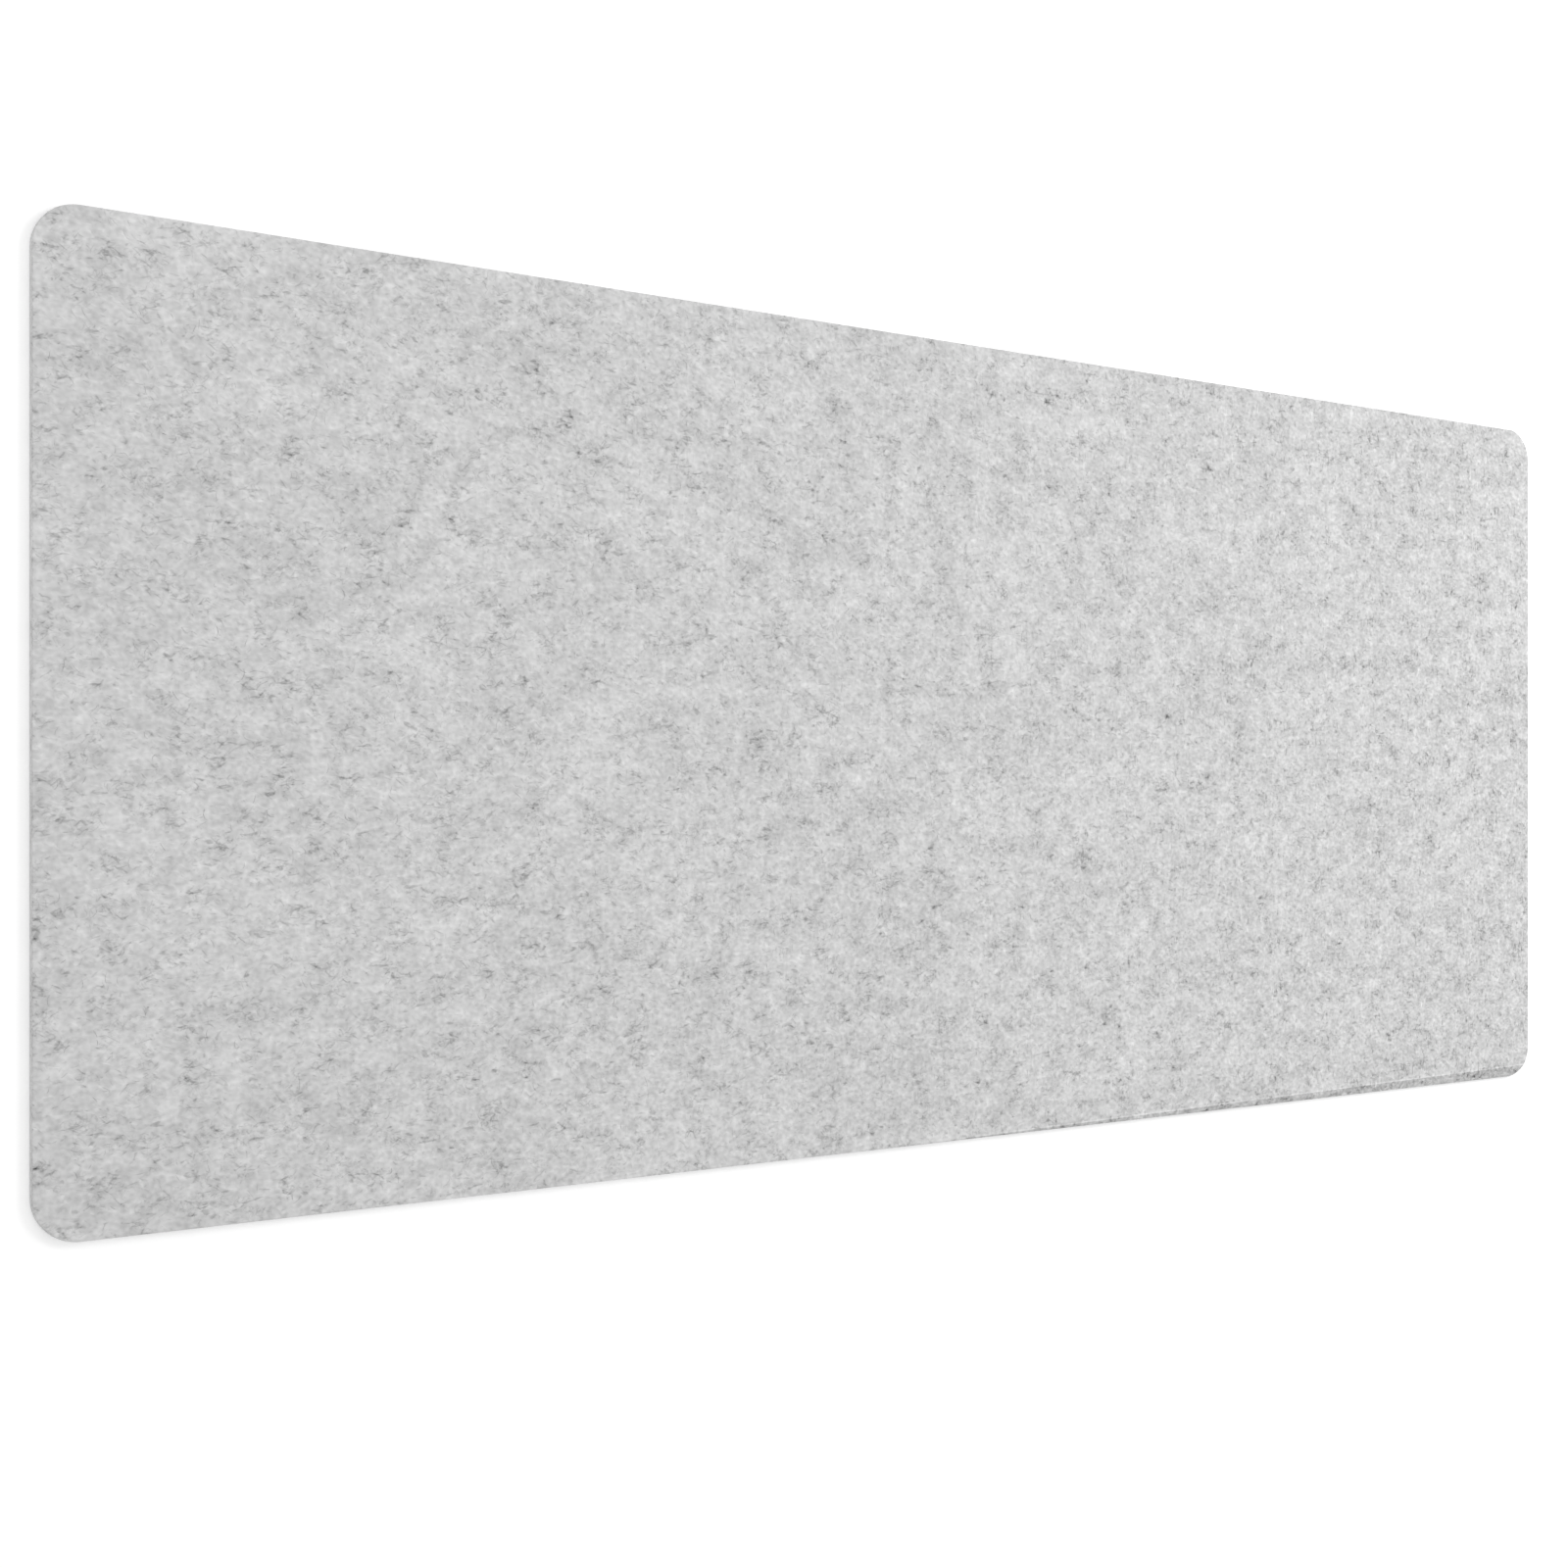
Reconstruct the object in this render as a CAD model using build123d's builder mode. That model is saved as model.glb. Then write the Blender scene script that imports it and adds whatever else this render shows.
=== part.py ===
from build123d import *
import os

# Desk mat: a felt sheet, bonded by a thin adhesive web to a rubber backing with grip dots.
# The mat lies flat: +Z up, X along its length, origin at the centre of its underside.
# All lengths are in millimetres.

# Outline, the same for every layer
mat_length = 900
mat_width = 400
corner_radius = 18

# Layers, from the underside up
dot_height = 0.3
film_thickness = 0.4
web_thickness = 0.1
felt_thickness = 3.2

film_bottom = dot_height
web_bottom = film_bottom + film_thickness
felt_bottom = web_bottom + web_thickness
mat_thickness = felt_bottom + felt_thickness

# Grip dots: two centred square grids, one in the gaps of the other
dot_diameter = 5
dot_pitch = 30
dots_along = 29
dots_across = 13

# Skived strip: the felt is pared down along its front edge by one slanting plane. The strip starts
# at nothing at skive_start, and is skive_width wide and skive_depth deep at the right-hand end.
skive_start = -55
skive_width = 6.5
skive_depth = 1.2
half_length = mat_length / 2
half_width = mat_width / 2

skive_tip = Vector(skive_start, -half_width, mat_thickness)
skive_end_on_face = Vector(half_length, -half_width + skive_width, mat_thickness)
skive_end_on_edge = Vector(half_length, -half_width, mat_thickness - skive_depth)
along_face = skive_end_on_face - skive_tip
along_edge = skive_end_on_edge - skive_tip
skive_plane = Plane(origin=skive_tip, x_dir=along_face, z_dir=along_face.cross(along_edge))


# Felt sheet
with BuildPart() as felt_sheet:
    with BuildSketch(Plane.XY.offset(felt_bottom)):
        RectangleRounded(mat_length, mat_width, corner_radius)
    extrude(amount=felt_thickness)
    split(bisect_by=skive_plane, keep=Keep.TOP)


# Adhesive web
with BuildPart() as adhesive_web:
    with BuildSketch(Plane.XY.offset(web_bottom)):
        RectangleRounded(mat_length, mat_width, corner_radius)
    extrude(amount=web_thickness)


# Non-slip backing: a film with grip dots moulded on its underside
with BuildPart() as non_slip_backing:
    with BuildSketch(Plane.XY.offset(film_bottom)):
        RectangleRounded(mat_length, mat_width, corner_radius)
    extrude(amount=film_thickness)
    with BuildSketch(Plane.XY):
        with GridLocations(dot_pitch, dot_pitch, dots_along, dots_across):
            Circle(dot_diameter / 2)
        with GridLocations(dot_pitch, dot_pitch, dots_along - 1, dots_across - 1):
            Circle(dot_diameter / 2)
    extrude(amount=dot_height)


felt_sheet.part.label = "felt_sheet"
adhesive_web.part.label = "adhesive_web"
non_slip_backing.part.label = "non_slip_backing"

os.makedirs("parts", exist_ok=True)
export_step(felt_sheet.part, "parts/felt_sheet.step")
export_step(adhesive_web.part, "parts/adhesive_web.step")
export_step(non_slip_backing.part, "parts/non_slip_backing.step")
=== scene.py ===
import math

import bpy
import numpy as np
from mathutils import Matrix, Vector, noise


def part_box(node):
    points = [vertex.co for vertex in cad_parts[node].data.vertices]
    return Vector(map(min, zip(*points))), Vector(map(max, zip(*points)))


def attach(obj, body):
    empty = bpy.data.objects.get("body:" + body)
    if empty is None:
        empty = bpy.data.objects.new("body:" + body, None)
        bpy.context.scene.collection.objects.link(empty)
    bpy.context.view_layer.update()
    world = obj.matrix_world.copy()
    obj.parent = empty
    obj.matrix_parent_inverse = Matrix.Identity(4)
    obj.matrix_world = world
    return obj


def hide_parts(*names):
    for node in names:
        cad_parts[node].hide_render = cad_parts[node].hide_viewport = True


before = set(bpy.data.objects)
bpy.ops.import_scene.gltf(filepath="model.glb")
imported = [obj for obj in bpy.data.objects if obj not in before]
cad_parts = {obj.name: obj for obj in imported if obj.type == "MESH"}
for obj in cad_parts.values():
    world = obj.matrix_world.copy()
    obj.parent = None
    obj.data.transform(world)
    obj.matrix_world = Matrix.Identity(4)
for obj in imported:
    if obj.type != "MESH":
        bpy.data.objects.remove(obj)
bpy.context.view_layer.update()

# ---------------------------------------------------------------- dimensions
# The mat lies flat: X along its length, Y across its width, Z up. Blender's unit is the metre.
MM = 0.001

felt_low, felt_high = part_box("felt_sheet")
half_length = felt_high.x
half_width = felt_high.y
felt_bottom = felt_low.z
felt_top = felt_high.z
corner_radius = 18 * MM

# The felt's worn arris, the swells of its face, which fade out over a margin at its edge, and how
# many rings of points lead down its cut edge
arris_radius = 0.45 * MM
swell_height = 0.05 * MM
swell_size = 9 * MM
swell_margin = 3 * MM
edge_rings = 6

# The skived strip along the front edge: nothing at skive_start, and full size at the right-hand end
skive_start = -55 * MM
skive_width = 6.5 * MM
skive_depth = 1.2 * MM

# The backing's grip dots: two centred square grids, one in the gaps of the other, under a thin film
dot_height = 0.3 * MM
dot_radius = 2.5 * MM
dot_pitch = 30 * MM
dots_along = 29
dots_across = 13

# Loose fibre: how many strands lie on the face in each shade, how many ends stick out of the cut edge,
# and the size of the face's tufts, which are tuft_stretch times longer along X than across it
strands_a_shade = 5100
fuzz_strands = 5200
tuft_size = 14 * MM
tuft_stretch = 1.2


# ---------------------------------------------------------------- camera, light and floor
def make_camera():
    """Beyond and above the mat's left end, looking along it, with its width upright in the picture."""
    data = bpy.data.cameras.new("camera")
    data.lens = 47.06
    data.sensor_width = 36
    data.shift_y = 0.01205
    data.clip_start = 0.05
    data.clip_end = 100
    camera = bpy.data.objects.new("camera", data)
    camera.location = (-0.6427, -0.0307, 0.8124)
    camera.rotation_euler = (0, math.radians(-33.551), 0)
    bpy.context.scene.collection.objects.link(camera)
    bpy.context.scene.camera = camera


def add_area_light(name, location, size, power):
    """A square soft light that faces the mat's centre."""
    data = bpy.data.lights.new(name, "AREA")
    data.shape = "SQUARE"
    data.size = size
    data.energy = power
    light = bpy.data.objects.new(name, data)
    light.location = location
    light.rotation_euler = (-Vector(location)).to_track_quat("-Z", "Y").to_euler()
    bpy.context.scene.collection.objects.link(light)


def make_light():
    """Even white light from all round, a key light beyond the right-hand end and a weak fill."""
    world = bpy.data.worlds.new("studio")
    world.use_nodes = True
    background = world.node_tree.nodes["Background"]
    background.inputs["Color"].default_value = (1, 1, 1, 1)
    background.inputs["Strength"].default_value = 0.75
    bpy.context.scene.world = world
    add_area_light("key", (1.15, 0.6, 1.25), 0.8, 10.4)
    add_area_light("fill", (-0.7, 1.2, 0.9), 0.8, 2)


def make_floor():
    """A plain white floor, a little brighter than the light alone would make it."""
    reach = 20
    mesh = bpy.data.meshes.new("floor")
    corners = [(-reach, -reach, 0), (reach, -reach, 0), (reach, reach, 0), (-reach, reach, 0)]
    mesh.from_pydata(corners, [], [(0, 1, 2, 3)])
    floor = bpy.data.objects.new("floor", mesh)
    bpy.context.scene.collection.objects.link(floor)
    material = bpy.data.materials.new("floor_paint")
    material.use_nodes = True
    shader = material.node_tree.nodes["Principled BSDF"]
    shader.inputs["Base Color"].default_value = (0.95, 0.95, 0.95, 1)
    shader.inputs["Roughness"].default_value = 0.9
    shader.inputs["Specular IOR Level"].default_value = 0.1
    shader.inputs["Emission Color"].default_value = (1, 1, 1, 1)
    shader.inputs["Emission Strength"].default_value = 0.2
    mesh.materials.append(material)


make_camera()
make_light()
make_floor()
bpy.context.scene.view_settings.view_transform = "Standard"


# ---------------------------------------------------------------- the mat's outline
def round_corners(x, y):
    """Moves the corner squares of a rectangle's grid onto quarter discs, ring by ring."""
    past_x = np.abs(x) - (half_length - corner_radius)
    past_y = np.abs(y) - (half_width - corner_radius)
    in_corner = (past_x > 0) & (past_y > 0)
    ring = np.maximum(past_x, past_y)
    scale = np.where(in_corner, ring / np.where(in_corner, np.hypot(past_x, past_y), 1), 1)
    round_x = np.sign(x) * (half_length - corner_radius + past_x * scale)
    round_y = np.sign(y) * (half_width - corner_radius + past_y * scale)
    return np.where(in_corner, round_x, x), np.where(in_corner, round_y, y)


def skive_drop(x, y):
    """How far the skived strip lies below the felt's face, and 0 where the face is whole."""
    run = (x - skive_start) / (half_length - skive_start)
    return skive_depth * np.clip(run - (y + half_width) / skive_width, 0, None)


# ---------------------------------------------------------------- felt sheet
def grid_lines(half, edge_insets):
    """Positions from -half to half: dense at both edges, fairly dense over the corners, even between."""
    corner_step, middle_step = 1.5 * MM, 2.5 * MM
    corner = np.arange(edge_insets[-1], corner_radius, corner_step)[1:]
    inner = half - corner[-1]
    middle = np.linspace(-inner, inner, round(2 * inner / middle_step) + 1)
    near = np.concatenate([edge_insets, corner[:-1]])
    return np.concatenate([near - half, middle, (half - near)[::-1]])


def add_mesh(name, vertices, faces, smooth=True):
    """A new piece from an array of points and a list of faces."""
    mesh = bpy.data.meshes.new(name)
    mesh.from_pydata(vertices.tolist(), [], faces)
    mesh.polygons.foreach_set("use_smooth", [smooth] * len(mesh.polygons))
    piece = bpy.data.objects.new(name, mesh)
    bpy.context.scene.collection.objects.link(piece)
    return piece


def set_attribute(piece, name, values):
    """Stores one number a point, for the piece's material to read."""
    attribute = piece.data.attributes.new(name, "FLOAT", "POINT")
    attribute.data.foreach_set("value", np.asarray(values, np.float32))


def quad_strip(upper, lower):
    """Quads between two closed rings of point numbers."""
    return np.stack([upper, lower, np.roll(lower, -1), np.roll(upper, -1)], axis=-1).tolist()


def make_felt():
    """A closed sheet: a face with a worn arris, a cut edge and a flat underside."""
    insets = np.array([0, 0.07, 0.18, 0.32, 0.5, 1.2]) * MM
    xs = grid_lines(half_length, insets)
    ys = grid_lines(half_width, insets)
    columns, rows = len(xs), len(ys)
    flat_x, flat_y = (a.ravel() for a in np.meshgrid(xs, ys))
    inset = np.minimum(half_length - np.abs(flat_x), half_width - np.abs(flat_y))
    x, y = round_corners(flat_x, flat_y)

    # The face: its arris is rounded, and it swells and dips a little, as needled felt does
    short = np.clip(arris_radius - inset, 0, None)
    arris_drop = arris_radius - np.sqrt(arris_radius**2 - short**2)
    swell = np.array([noise.fractal(Vector((a, b, 0)) / swell_size, 1, 2, 3) for a, b in zip(x, y)])
    relief = swell_height * swell * np.clip(inset / swell_margin, 0, 1)
    face_z = felt_top - skive_drop(x, y) - arris_drop + relief

    # The cut edge: rings of points from the arris down to the underside, which is one flat face
    index = np.arange(rows * columns).reshape(rows, columns)
    rim = np.concatenate([index[0, :-1], index[:-1, -1], index[-1, :0:-1], index[:0:-1, 0]])
    layers = [np.column_stack([x, y, face_z])]
    rings = [rim]
    for share in np.linspace(0, 1, edge_rings + 1)[1:]:
        ring_z = face_z[rim] + (felt_bottom - face_z[rim]) * share
        rings.append(sum(len(layer) for layer in layers) + np.arange(len(rim)))
        layers.append(np.column_stack([x[rim], y[rim], ring_z]))

    quads = np.stack([index[:-1, :-1], index[:-1, 1:], index[1:, 1:], index[1:, :-1]], axis=-1)
    faces = quads.reshape(-1, 4).tolist()
    for upper, lower in zip(rings, rings[1:]):
        faces += quad_strip(upper, lower)
    faces.append(rings[-1][::-1].tolist())

    felt = add_mesh("felt", np.concatenate(layers), faces)
    # 1 down the cut edge, fading to 0 over the worn arris
    cut_fade = 0.4 * MM
    cut = np.ones(len(felt.data.vertices))
    cut[: rows * columns] = np.clip(1 - inset / cut_fade, 0, 1)
    set_attribute(felt, "cut_edge", cut)
    return felt


# ---------------------------------------------------------------- rubber backing
def outline_ring(z):
    """The mat's outline at one height, with round corners, as one closed ring of points."""
    points = []
    for corner, (side_x, side_y) in enumerate([(1, 1), (-1, 1), (-1, -1), (1, -1)]):
        for angle in np.radians(90 * corner + np.linspace(0, 90, 13)):
            x = side_x * (half_length - corner_radius) + corner_radius * math.cos(angle)
            y = side_y * (half_width - corner_radius) + corner_radius * math.sin(angle)
            points.append((x, y, z))
    return points


def grip_dot_ring(x, y, radius, z):
    angles = np.radians(np.arange(0, 360, 20))
    return [(x + radius * math.cos(a), y + radius * math.sin(a), z) for a in angles]


def closed_rings(rings, vertices, faces):
    """Adds a closed body to the mesh: rings of points from the top down, with a flat cap at each end."""
    size = len(rings[0])
    first = len(vertices)
    vertices += [point for ring in rings for point in ring]
    index = first + np.arange(len(rings) * size).reshape(-1, size)
    for upper, lower in zip(index, index[1:]):
        faces += quad_strip(upper, lower)
    faces += [index[0].tolist(), index[-1, ::-1].tolist()]


def make_backing():
    """A thin film, with soft-shouldered grip dots that stand in its underside and rest on flat feet."""
    low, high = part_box("non_slip_backing")
    film_bottom = low.z + dot_height
    vertices, faces = [], []
    closed_rings([outline_ring(high.z), outline_ring(film_bottom)], vertices, faces)
    # Each dot's radius as a share of the full one, and its height, from inside the film down to the foot
    profile = [
        (1, film_bottom + 0.05 * MM),
        (1, 0.18 * MM),
        (0.96, 0.09 * MM),
        (0.88, 0.03 * MM),
        (0.76, low.z),
    ]
    for along, across in ((dots_along, dots_across), (dots_along - 1, dots_across - 1)):
        for column in range(along):
            for row in range(across):
                x = (column - (along - 1) / 2) * dot_pitch
                y = (row - (across - 1) / 2) * dot_pitch
                rings = [grip_dot_ring(x, y, dot_radius * share, z) for share, z in profile]
                closed_rings(rings, vertices, faces)
    backing = add_mesh("backing", np.array(vertices), faces, smooth=False)
    set_attribute(backing, "grip_dot", [z < film_bottom - 0.01 * MM for _, _, z in vertices])
    return backing


# ---------------------------------------------------------------- loose fibres
def tufting(x, y):
    """How thick the dark fibre lies at a place, about 0 in the light patches and 1 in the dark ones."""
    place = Vector((x / tuft_stretch, y, 0)) / tuft_size
    return min(max(0.5 + 0.9 * noise.fractal(place, 1, 2, 2), 0), 1)


def strand_mesh(name, paths, radii, tones):
    """One mesh of closed three-sided tubes. paths is strands x points x 3, radii is strands x points."""
    count, points, _ = paths.shape
    along = np.gradient(paths, axis=1)
    along /= np.linalg.norm(along, axis=2, keepdims=True)
    side = np.cross(along, (0, 0, 1))
    side /= np.maximum(np.linalg.norm(side, axis=2, keepdims=True), 1e-6)
    up = np.cross(side, along)
    ring = []
    for corner in range(3):
        angle = math.radians(90 + 120 * corner)
        ring.append(paths + radii[..., None] * (math.cos(angle) * side + math.sin(angle) * up))
    vertices = np.stack(ring, axis=2).reshape(-1, 3)
    index = np.arange(count * points * 3).reshape(count, points, 3)
    turned = np.roll(index, -1, axis=2)
    sides = np.stack([index[:, :-1], turned[:, :-1], turned[:, 1:], index[:, 1:]], axis=-1).reshape(-1, 4)
    ends = np.concatenate([index[:, 0, ::-1], index[:, -1]])
    strands = add_mesh(name, vertices, sides.tolist() + ends.tolist())
    set_attribute(strands, "tone", np.repeat(tones, points * 3))
    return strands


def face_places(random, count, keep_where):
    """Random places clear of the outline, kept with the chance that keep_where gives."""
    side_gap, corner_gap = 5 * MM, 4 * MM
    places = []
    while len(places) < count:
        x = random.uniform(-1, 1) * (half_length - side_gap)
        y = random.uniform(-1, 1) * (half_width - side_gap)
        past_x = max(abs(x) - half_length + corner_radius, 0)
        past_y = max(abs(y) - half_width + corner_radius, 0)
        clear_of_corner = math.hypot(past_x, past_y) < corner_radius - corner_gap
        if clear_of_corner and random.random() < keep_where(x, y):
            places.append((x, y))
    return places


def make_face_fibres(name, seed, keep_where):
    """Curly fibres that lie on the face: they rise out of the felt, bend about and go back in."""
    random = np.random.default_rng(seed)
    count, points = strands_a_shade, 7
    paths = np.zeros((count, points, 3))
    paths[:, 0, :2] = face_places(random, count, keep_where)
    step = random.uniform(2, 7, count) * MM / (points - 1)
    # More of the fibres lie along the mat than across it, and each turns one way as it goes
    heading = random.uniform(0, 2 * math.pi, count)
    heading = np.arctan2(np.sin(heading), 1.6 * np.cos(heading))
    bend = np.clip(random.normal(0, 0.25, count) * step / MM, -0.3, 0.3)
    for k in range(1, points):
        heading = heading + bend + random.normal(0, 0.12, count)
        paths[:, k, 0] = paths[:, k - 1, 0] + step * np.cos(heading)
        paths[:, k, 1] = paths[:, k - 1, 1] + step * np.sin(heading)
    # Both ends lie in the felt, and the middle is the highest and thickest
    arch = np.sin(math.pi * np.linspace(0, 1, points))
    lift = random.uniform(0.05, 0.16, count) * MM
    paths[..., 2] = felt_top - 0.06 * MM + lift[:, None] * arch
    paths[..., 2] += random.normal(0, 0.012 * MM, (count, points))
    radii = random.uniform(0.025, 0.05, count)[:, None] * MM * (0.45 + 0.55 * arch)
    return strand_mesh(name, paths, radii, random.random(count))


straight_x = half_length - corner_radius
straight_y = half_width - corner_radius
corner_arc = math.pi / 2 * corner_radius
outline_spans = [2 * straight_x, corner_arc, 2 * straight_y, corner_arc] * 2
span_ends = np.cumsum(outline_spans)


def on_outline(walked):
    """The place this far anticlockwise from the front edge's left end, and the direction outwards there."""
    span = int(np.searchsorted(span_ends, walked))
    rest = walked - (span_ends[span] - outline_spans[span])
    quarter = span // 2
    # Each pair of a straight and a corner is laid out as if it were the front edge, and turned into place
    half_run, half_depth = (straight_x, straight_y) if quarter % 2 == 0 else (straight_y, straight_x)
    if span % 2 == 0:
        outward = Vector((0, -1))
        centre = Vector((rest - half_run, -half_depth))
    else:
        bend = rest / corner_radius
        outward = Vector((math.sin(bend), -math.cos(bend)))
        centre = Vector((half_run, -half_depth))
    turn = Matrix.Rotation(math.radians(90) * quarter, 2)
    return turn @ (centre + corner_radius * outward), turn @ outward


def make_edge_fuzz():
    """Short fibre ends that stick out of the cut edge all round."""
    count, points = fuzz_strands, 4
    random = np.random.default_rng(31)
    starts = np.zeros((count, 3))
    outward = np.zeros((count, 2))
    for k, walked in enumerate(random.uniform(0, span_ends[-1], count)):
        starts[k, :2], outward[k] = on_outline(walked)
    starts[:, 2] = random.triangular(felt_bottom + 0.2 * MM, felt_top, felt_top, count)
    share_of_height = (starts[:, 2] - felt_bottom) / (felt_top - felt_bottom)
    starts[:, 2] -= skive_drop(starts[:, 0], starts[:, 1]) * share_of_height
    starts[:, :2] -= 0.25 * MM * outward

    # Each starts outwards and a little upwards, and turns at random from step to step
    direction = np.column_stack([outward, random.normal(0.15, 0.45, count)])
    direction += random.normal(0, 0.55, (count, 3)) * (1, 1, 0.4)
    direction /= np.linalg.norm(direction, axis=1, keepdims=True)
    step = random.uniform(0.1, 0.35, count) * MM
    paths = np.zeros((count, points, 3))
    paths[:, 0] = starts
    for k in range(1, points):
        direction += random.normal(0, 0.35, (count, 3))
        direction /= np.linalg.norm(direction, axis=1, keepdims=True)
        paths[:, k] = paths[:, k - 1] + step[:, None] * direction
    paths[..., 2] = np.clip(paths[..., 2], 0.3 * MM, felt_top + 0.35 * MM)
    radii = random.uniform(0.018, 0.034, count)[:, None] * MM * np.array([1, 0.9, 0.7, 0.35])
    return strand_mesh("edge_fuzz", paths, radii, random.random(count))


felt = make_felt()
backing = make_backing()
dark_fibres = make_face_fibres("dark_fibres", 11, lambda x, y: 0.06 + tufting(x, y) ** 2)
light_fibres = make_face_fibres("light_fibres", 12, lambda x, y: 1.05 - tufting(x, y))
edge_fuzz = make_edge_fuzz()


# ---------------------------------------------------------------- materials
class Nodes:
    """A material and short ways to add nodes to it."""

    def __init__(self, name):
        self.material = bpy.data.materials.new(name)
        self.material.use_nodes = True
        self.tree = self.material.node_tree
        self.shader = self.tree.nodes["Principled BSDF"]

    def add(self, kind, **settings):
        """A new node, with its settings."""
        node = self.tree.nodes.new(kind)
        for name, value in settings.items():
            setattr(node, name, value)
        return node

    def put(self, socket, value):
        """Links an output to the socket, or sets the socket's plain value."""
        if hasattr(value, "is_output"):
            self.tree.links.new(value, socket)
        else:
            socket.default_value = value

    def math(self, operation, a, b=0.0):
        node = self.add("ShaderNodeMath", operation=operation)
        self.put(node.inputs[0], a)
        self.put(node.inputs[1], b)
        return node.outputs[0]

    def attribute(self, name):
        return self.add("ShaderNodeAttribute", attribute_name=name).outputs["Fac"]

    def place(self, size_mm, turn=0, stretch=1.0, shift=0.0):
        """Coordinates in units of size_mm, turned about Z, stretched along the turned X and flat in Z."""
        turned = self.add("ShaderNodeMapping")
        turned.inputs["Rotation"].default_value = (0, 0, math.radians(-turn))
        self.put(turned.inputs["Vector"], self.add("ShaderNodeTexCoord").outputs["Object"])
        scaled = self.add("ShaderNodeMapping")
        size = 1 / (size_mm * MM)
        scaled.inputs["Scale"].default_value = (size / stretch, size, 3 * size)
        scaled.inputs["Location"].default_value = (shift, shift, shift)
        self.put(scaled.inputs["Vector"], turned.outputs[0])
        return scaled.outputs[0]

    def noise(self, vector, detail=0.0, roughness=0.5, distortion=0.0):
        """Noise about 0, roughly from -0.3 to 0.3."""
        node = self.add("ShaderNodeTexNoise", normalize=True)
        self.put(node.inputs["Vector"], vector)
        node.inputs["Scale"].default_value = 1
        node.inputs["Detail"].default_value = detail
        node.inputs["Roughness"].default_value = roughness
        node.inputs["Distortion"].default_value = distortion
        return self.math("SUBTRACT", node.outputs["Fac"], 0.5)

    def ramp(self, value, low, high, to_low=0.0, to_high=1.0):
        """A smooth step from to_low, where value is low, to to_high, where it is high."""
        node = self.add("ShaderNodeMapRange", interpolation_type="SMOOTHSTEP")
        self.put(node.inputs["Value"], value)
        node.inputs["From Min"].default_value = low
        node.inputs["From Max"].default_value = high
        node.inputs["To Min"].default_value = to_low
        node.inputs["To Max"].default_value = to_high
        return node.outputs[0]

    def total(self, *terms):
        """The sum of (value, weight) pairs."""
        result = 0.0
        for value, weight in terms:
            result = self.math("ADD", result, self.math("MULTIPLY", value, weight))
        return result

    def grey(self, value, tint=(1, 1, 1)):
        colour = self.add("ShaderNodeCombineColor")
        for channel in range(3):
            self.put(colour.inputs[channel], self.math("MULTIPLY", value, tint[channel]))
        return colour.outputs[0]

    def bump(self, height, depth_mm):
        node = self.add("ShaderNodeBump")
        node.inputs["Distance"].default_value = depth_mm * MM
        self.put(node.inputs["Height"], height)
        self.put(self.shader.inputs["Normal"], node.outputs[0])


def dashes(n, length_mm, width_mm, turn, gathered, shift):
    """Short fibre dashes: the high tail of a stretched noise, more of them where gathered is high."""
    place = n.place(2 * width_mm, turn, length_mm / width_mm, shift)
    peaks = n.noise(place, detail=1.0, distortion=0.8)
    return n.ramp(n.math("ADD", peaks, gathered), 0.12, 0.28)


def curls(n, size_mm, turn, gathered, shift):
    """Curly fibres: the contour lines of a noise, left only where gathered is high."""
    contour = n.noise(n.place(size_mm, turn, 1.3, shift), detail=1.0, distortion=1.2)
    line = n.ramp(n.math("ABSOLUTE", contour), 0, 0.05, 1, 0)
    return n.math("MULTIPLY", line, n.ramp(gathered, -0.05, 0.10))


def position(n):
    """The separate X, Y and Z of a place on the mat, in metres."""
    split = n.add("ShaderNodeSeparateXYZ")
    n.put(split.inputs[0], n.add("ShaderNodeTexCoord").outputs["Object"])
    return split.outputs


def skived_strip(n, x, y, face):
    """Two masks, within the face's own mask: the skived strip, which is darkened partly by painted shade,
    and the thin line along its upper border, where a highlight is painted.
    """
    slope = skive_width / (half_length - skive_start)
    border = n.math("MULTIPLY", n.math("SUBTRACT", x, skive_start), slope)
    below = n.math("SUBTRACT", n.math("SUBTRACT", border, half_width), y)
    strip = n.math("MULTIPLY", n.ramp(below, 0, 0.3 * MM), face)
    line = n.ramp(n.math("ABSOLUTE", n.math("ADD", below, 0.3 * MM)), 0.1 * MM, 0.6 * MM, 1, 0)
    return strip, n.math("MULTIPLY", n.math("MULTIPLY", line, n.ramp(border, 0.3 * MM, 1.5 * MM)), face)


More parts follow.
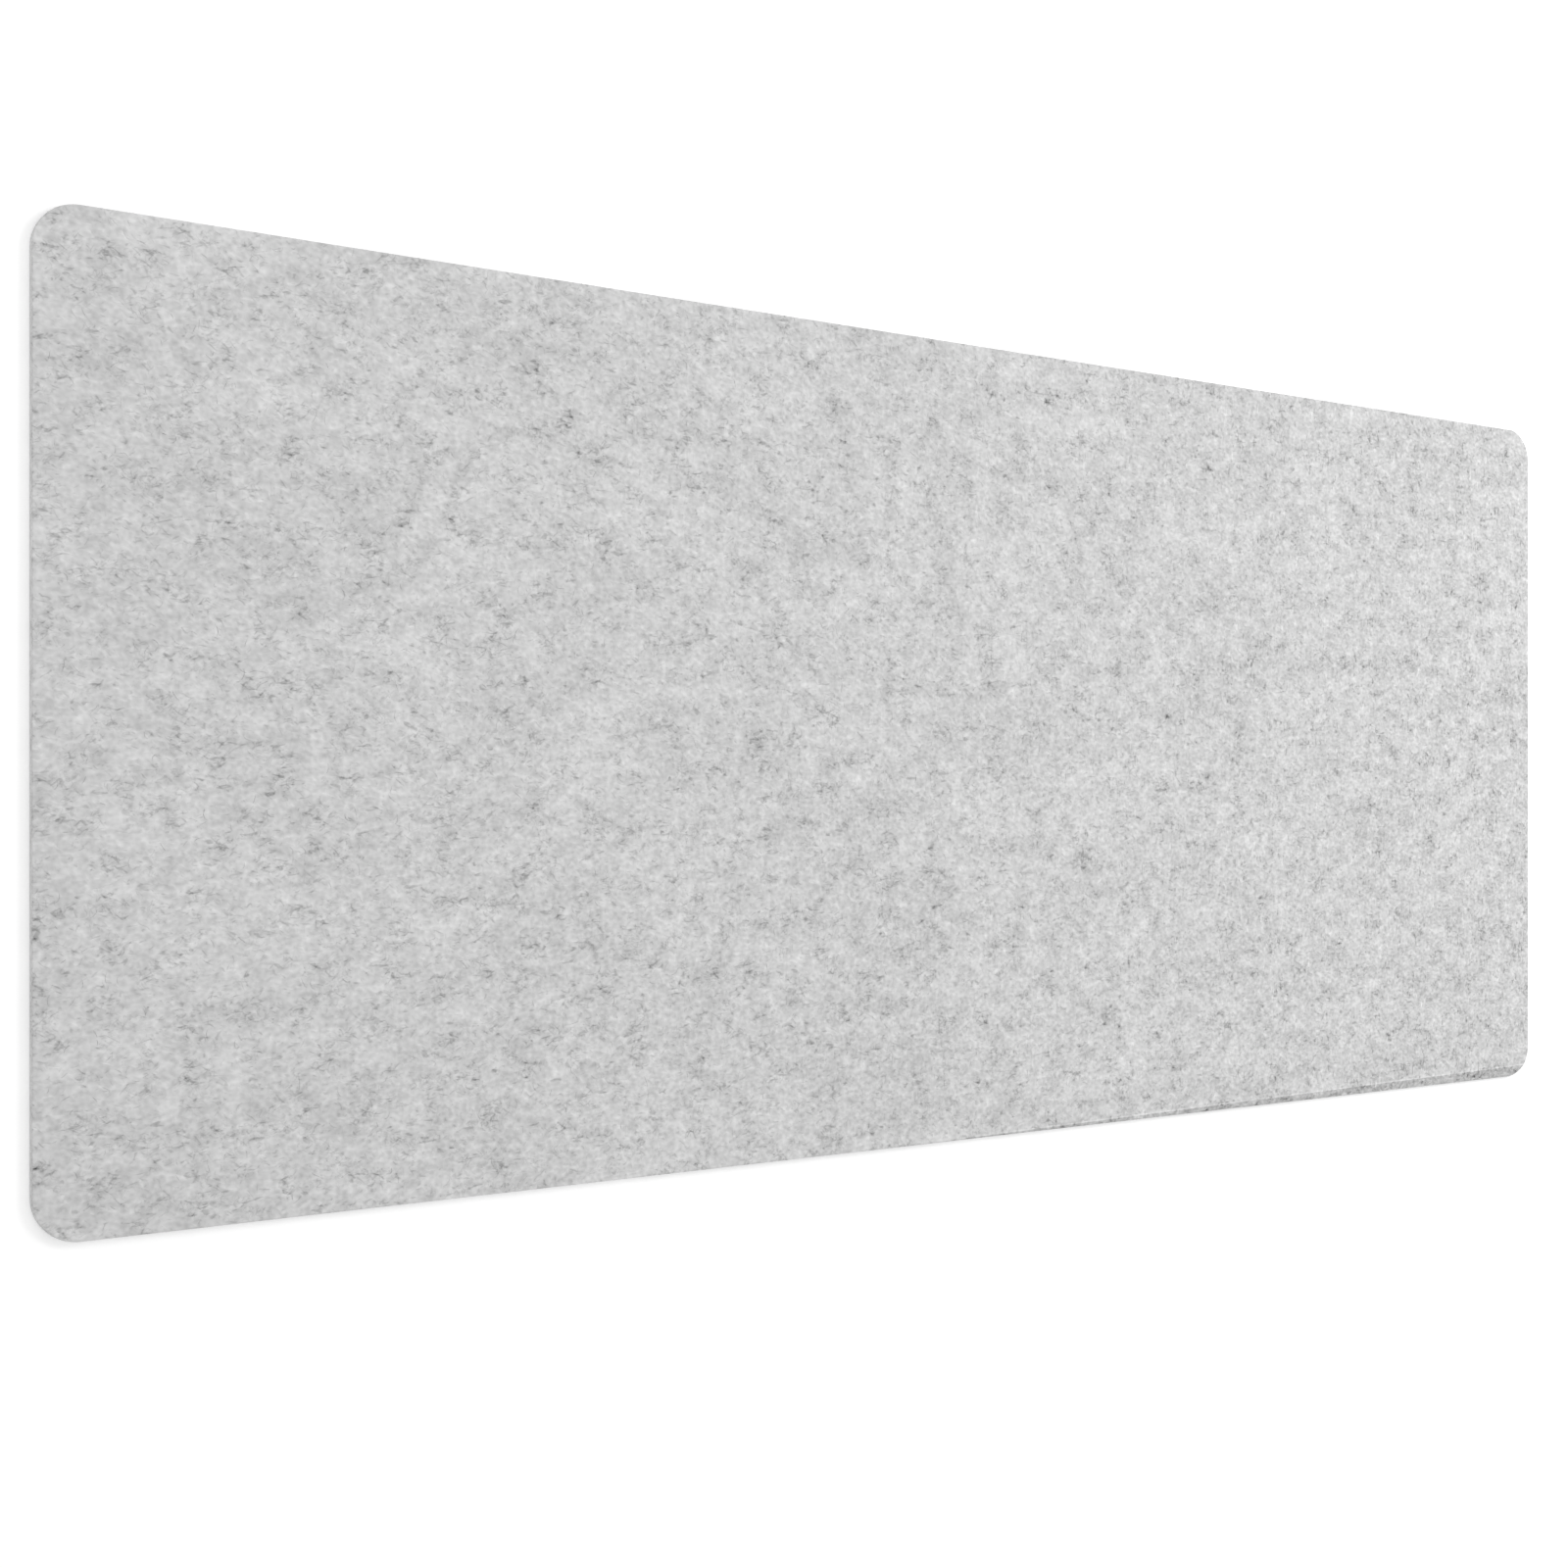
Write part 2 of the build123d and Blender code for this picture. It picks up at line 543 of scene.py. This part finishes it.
def felt_material():
    """Light grey melange: soft clouds, dark and pale fibre gathered in tufts, and a fine grain."""
    n = Nodes("felt_melange")
    x, y, _ = position(n)

    clouds = n.total(
        (n.noise(n.place(70, 5, 1.2), 1), 0.08),
        (n.noise(n.place(30, -8, 1.2, 3), 1), 0.10),
        (n.noise(n.place(14, 12, 1.2, 5), 1), 0.13),
        (n.noise(n.place(6.5, -5, 1.3, 9), 1, distortion=0.6), 0.21),
    )
    tufts = n.noise(n.place(12, 4, 1.2, 2), 2, 0.6)
    crowd = n.math("MULTIPLY", tufts, 0.40)
    thin_out = n.math("MULTIPLY", tufts, -0.35)

    # From left to right, the grain gets stronger and more of the fibre lies across the mat
    grain_share = n.total((x, 0.5), (1.0, 1.0))
    crosswise = n.total((x, 1.6), (1.0, 0.8))
    dark = n.total(
        (dashes(n, 3.0, 1.0, 4, crowd, 1), 0.16),
        (dashes(n, 2.2, 1.0, -28, crowd, 4), 0.145),
        (dashes(n, 2.0, 1.0, 36, crowd, 8), 0.135),
        (n.math("MULTIPLY", dashes(n, 2.2, 0.8, 88, crowd, 12), crosswise), 0.15),
        (curls(n, 3.4, 10, tufts, 31), 0.09),
    )
    light = n.total(
        (dashes(n, 2.6, 1.0, -10, thin_out, 21), 0.07),
        (n.math("MULTIPLY", dashes(n, 2.4, 0.7, 84, thin_out, 27), crosswise), 0.09),
    )
    grain = n.total(
        (n.noise(n.place(1.8, 6, 1.2), 0), 0.25),
        (n.noise(n.place(3.2, -10, 1.3, 5), 1, distortion=0.8), 0.27),
    )

    # The cut edge is a little darker. The skived strip is darker, partly the cut fibre's own tone and
    # partly painted shade, with stronger fibre, and a pale line of painted highlight runs above it.
    wall = n.ramp(n.attribute("cut_edge"), 0.45, 1.0)
    strip, line = skived_strip(n, x, y, n.math("SUBTRACT", 1.0, wall))
    pale = n.math("MULTIPLY", n.math("ADD", light, grain), grain_share)
    fibre = n.math("MULTIPLY", n.math("SUBTRACT", pale, dark), n.total((strip, 0.5), (1.0, 1.0)))
    shade = n.total((clouds, 1.0), (fibre, 1.0), (1.0, 0.622))
    # Painted shade darkens the skived strip, and a painted highlight lightens the line above it
    for mask, change in ((strip, -0.21), (line, 0.14), (wall, -0.05)):
        shade = n.math("MULTIPLY", shade, n.math("ADD", n.math("MULTIPLY", mask, change), 1.0))
    n.put(n.shader.inputs["Base Color"], n.grey(shade))
    n.put(n.shader.inputs["Roughness"], n.ramp(grain, -0.05, 0.05, 0.6, 0.9))
    n.shader.inputs["Specular IOR Level"].default_value = 0.4
    n.shader.inputs["Sheen Weight"].default_value = 0.08
    n.shader.inputs["Sheen Roughness"].default_value = 0.6
    n.bump(n.total((dark, -2.0), (light, 4.0), (grain, 6.0)), 0.2)
    return n.material


def fibre_material(name, darkest, palest):
    """Mottled loose fibre, each strand with its own shade from darkest to palest."""
    n = Nodes(name)
    shade = n.ramp(n.attribute("tone"), 0, 1, darkest, palest)
    mottled = n.math("MULTIPLY", shade, n.ramp(n.noise(n.place(1.5), 1), -0.25, 0.25, 0.85, 1.15))
    n.put(n.shader.inputs["Base Color"], n.grey(mottled))
    n.put(n.shader.inputs["Roughness"], n.ramp(n.noise(n.place(0.6), 1), -0.25, 0.25, 0.55, 0.8))
    n.shader.inputs["Specular IOR Level"].default_value = 0.3
    return n.material


def rubber_material():
    """Pebbled grey rubber, with darker, glossier and smoother grip dots."""
    n = Nodes("backing_rubber")
    dot = n.attribute("grip_dot")
    pebble = n.noise(n.place(1.0), 1)
    cloud = n.noise(n.place(25), 2)
    shade = n.total((cloud, 0.10), (pebble, 0.14), (dot, -0.12), (1.0, 0.44))
    n.put(n.shader.inputs["Base Color"], n.grey(shade, (1, 1, 1.02)))
    n.put(n.shader.inputs["Roughness"], n.total((pebble, 0.4), (dot, -0.25), (1.0, 0.72)))
    n.bump(n.math("MULTIPLY", pebble, n.math("SUBTRACT", 1.0, dot)), 0.25)
    return n.material


def web_material():
    """Milky hot-melt film with glossier threads in it."""
    n = Nodes("adhesive_web")
    threads = n.ramp(n.math("ABSOLUTE", n.noise(n.place(1.2), 1)), 0, 0.06, 1, 0)
    n.put(n.shader.inputs["Base Color"], n.grey(n.total((threads, 0.10), (1.0, 0.44)), (1, 0.99, 0.95)))
    n.put(n.shader.inputs["Roughness"], n.ramp(threads, 0, 1, 0.55, 0.35))
    n.bump(threads, 0.03)
    return n.material


felt.data.materials.append(felt_material())
dark_fibres.data.materials.append(fibre_material("fibre_dark", 0.20, 0.40))
light_fibres.data.materials.append(fibre_material("fibre_light", 0.66, 0.86))
edge_fuzz.data.materials.append(fibre_material("fibre_edge", 0.35, 0.75))

backing.data.materials.append(rubber_material())
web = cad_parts["adhesive_web"]
web.material_slots[0].material = web_material()


# ---------------------------------------------------------------- what rides on what
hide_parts("felt_sheet")
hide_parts("non_slip_backing")
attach(backing, "root")
for piece in (felt, dark_fibres, light_fibres, edge_fuzz):
    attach(piece, "root")
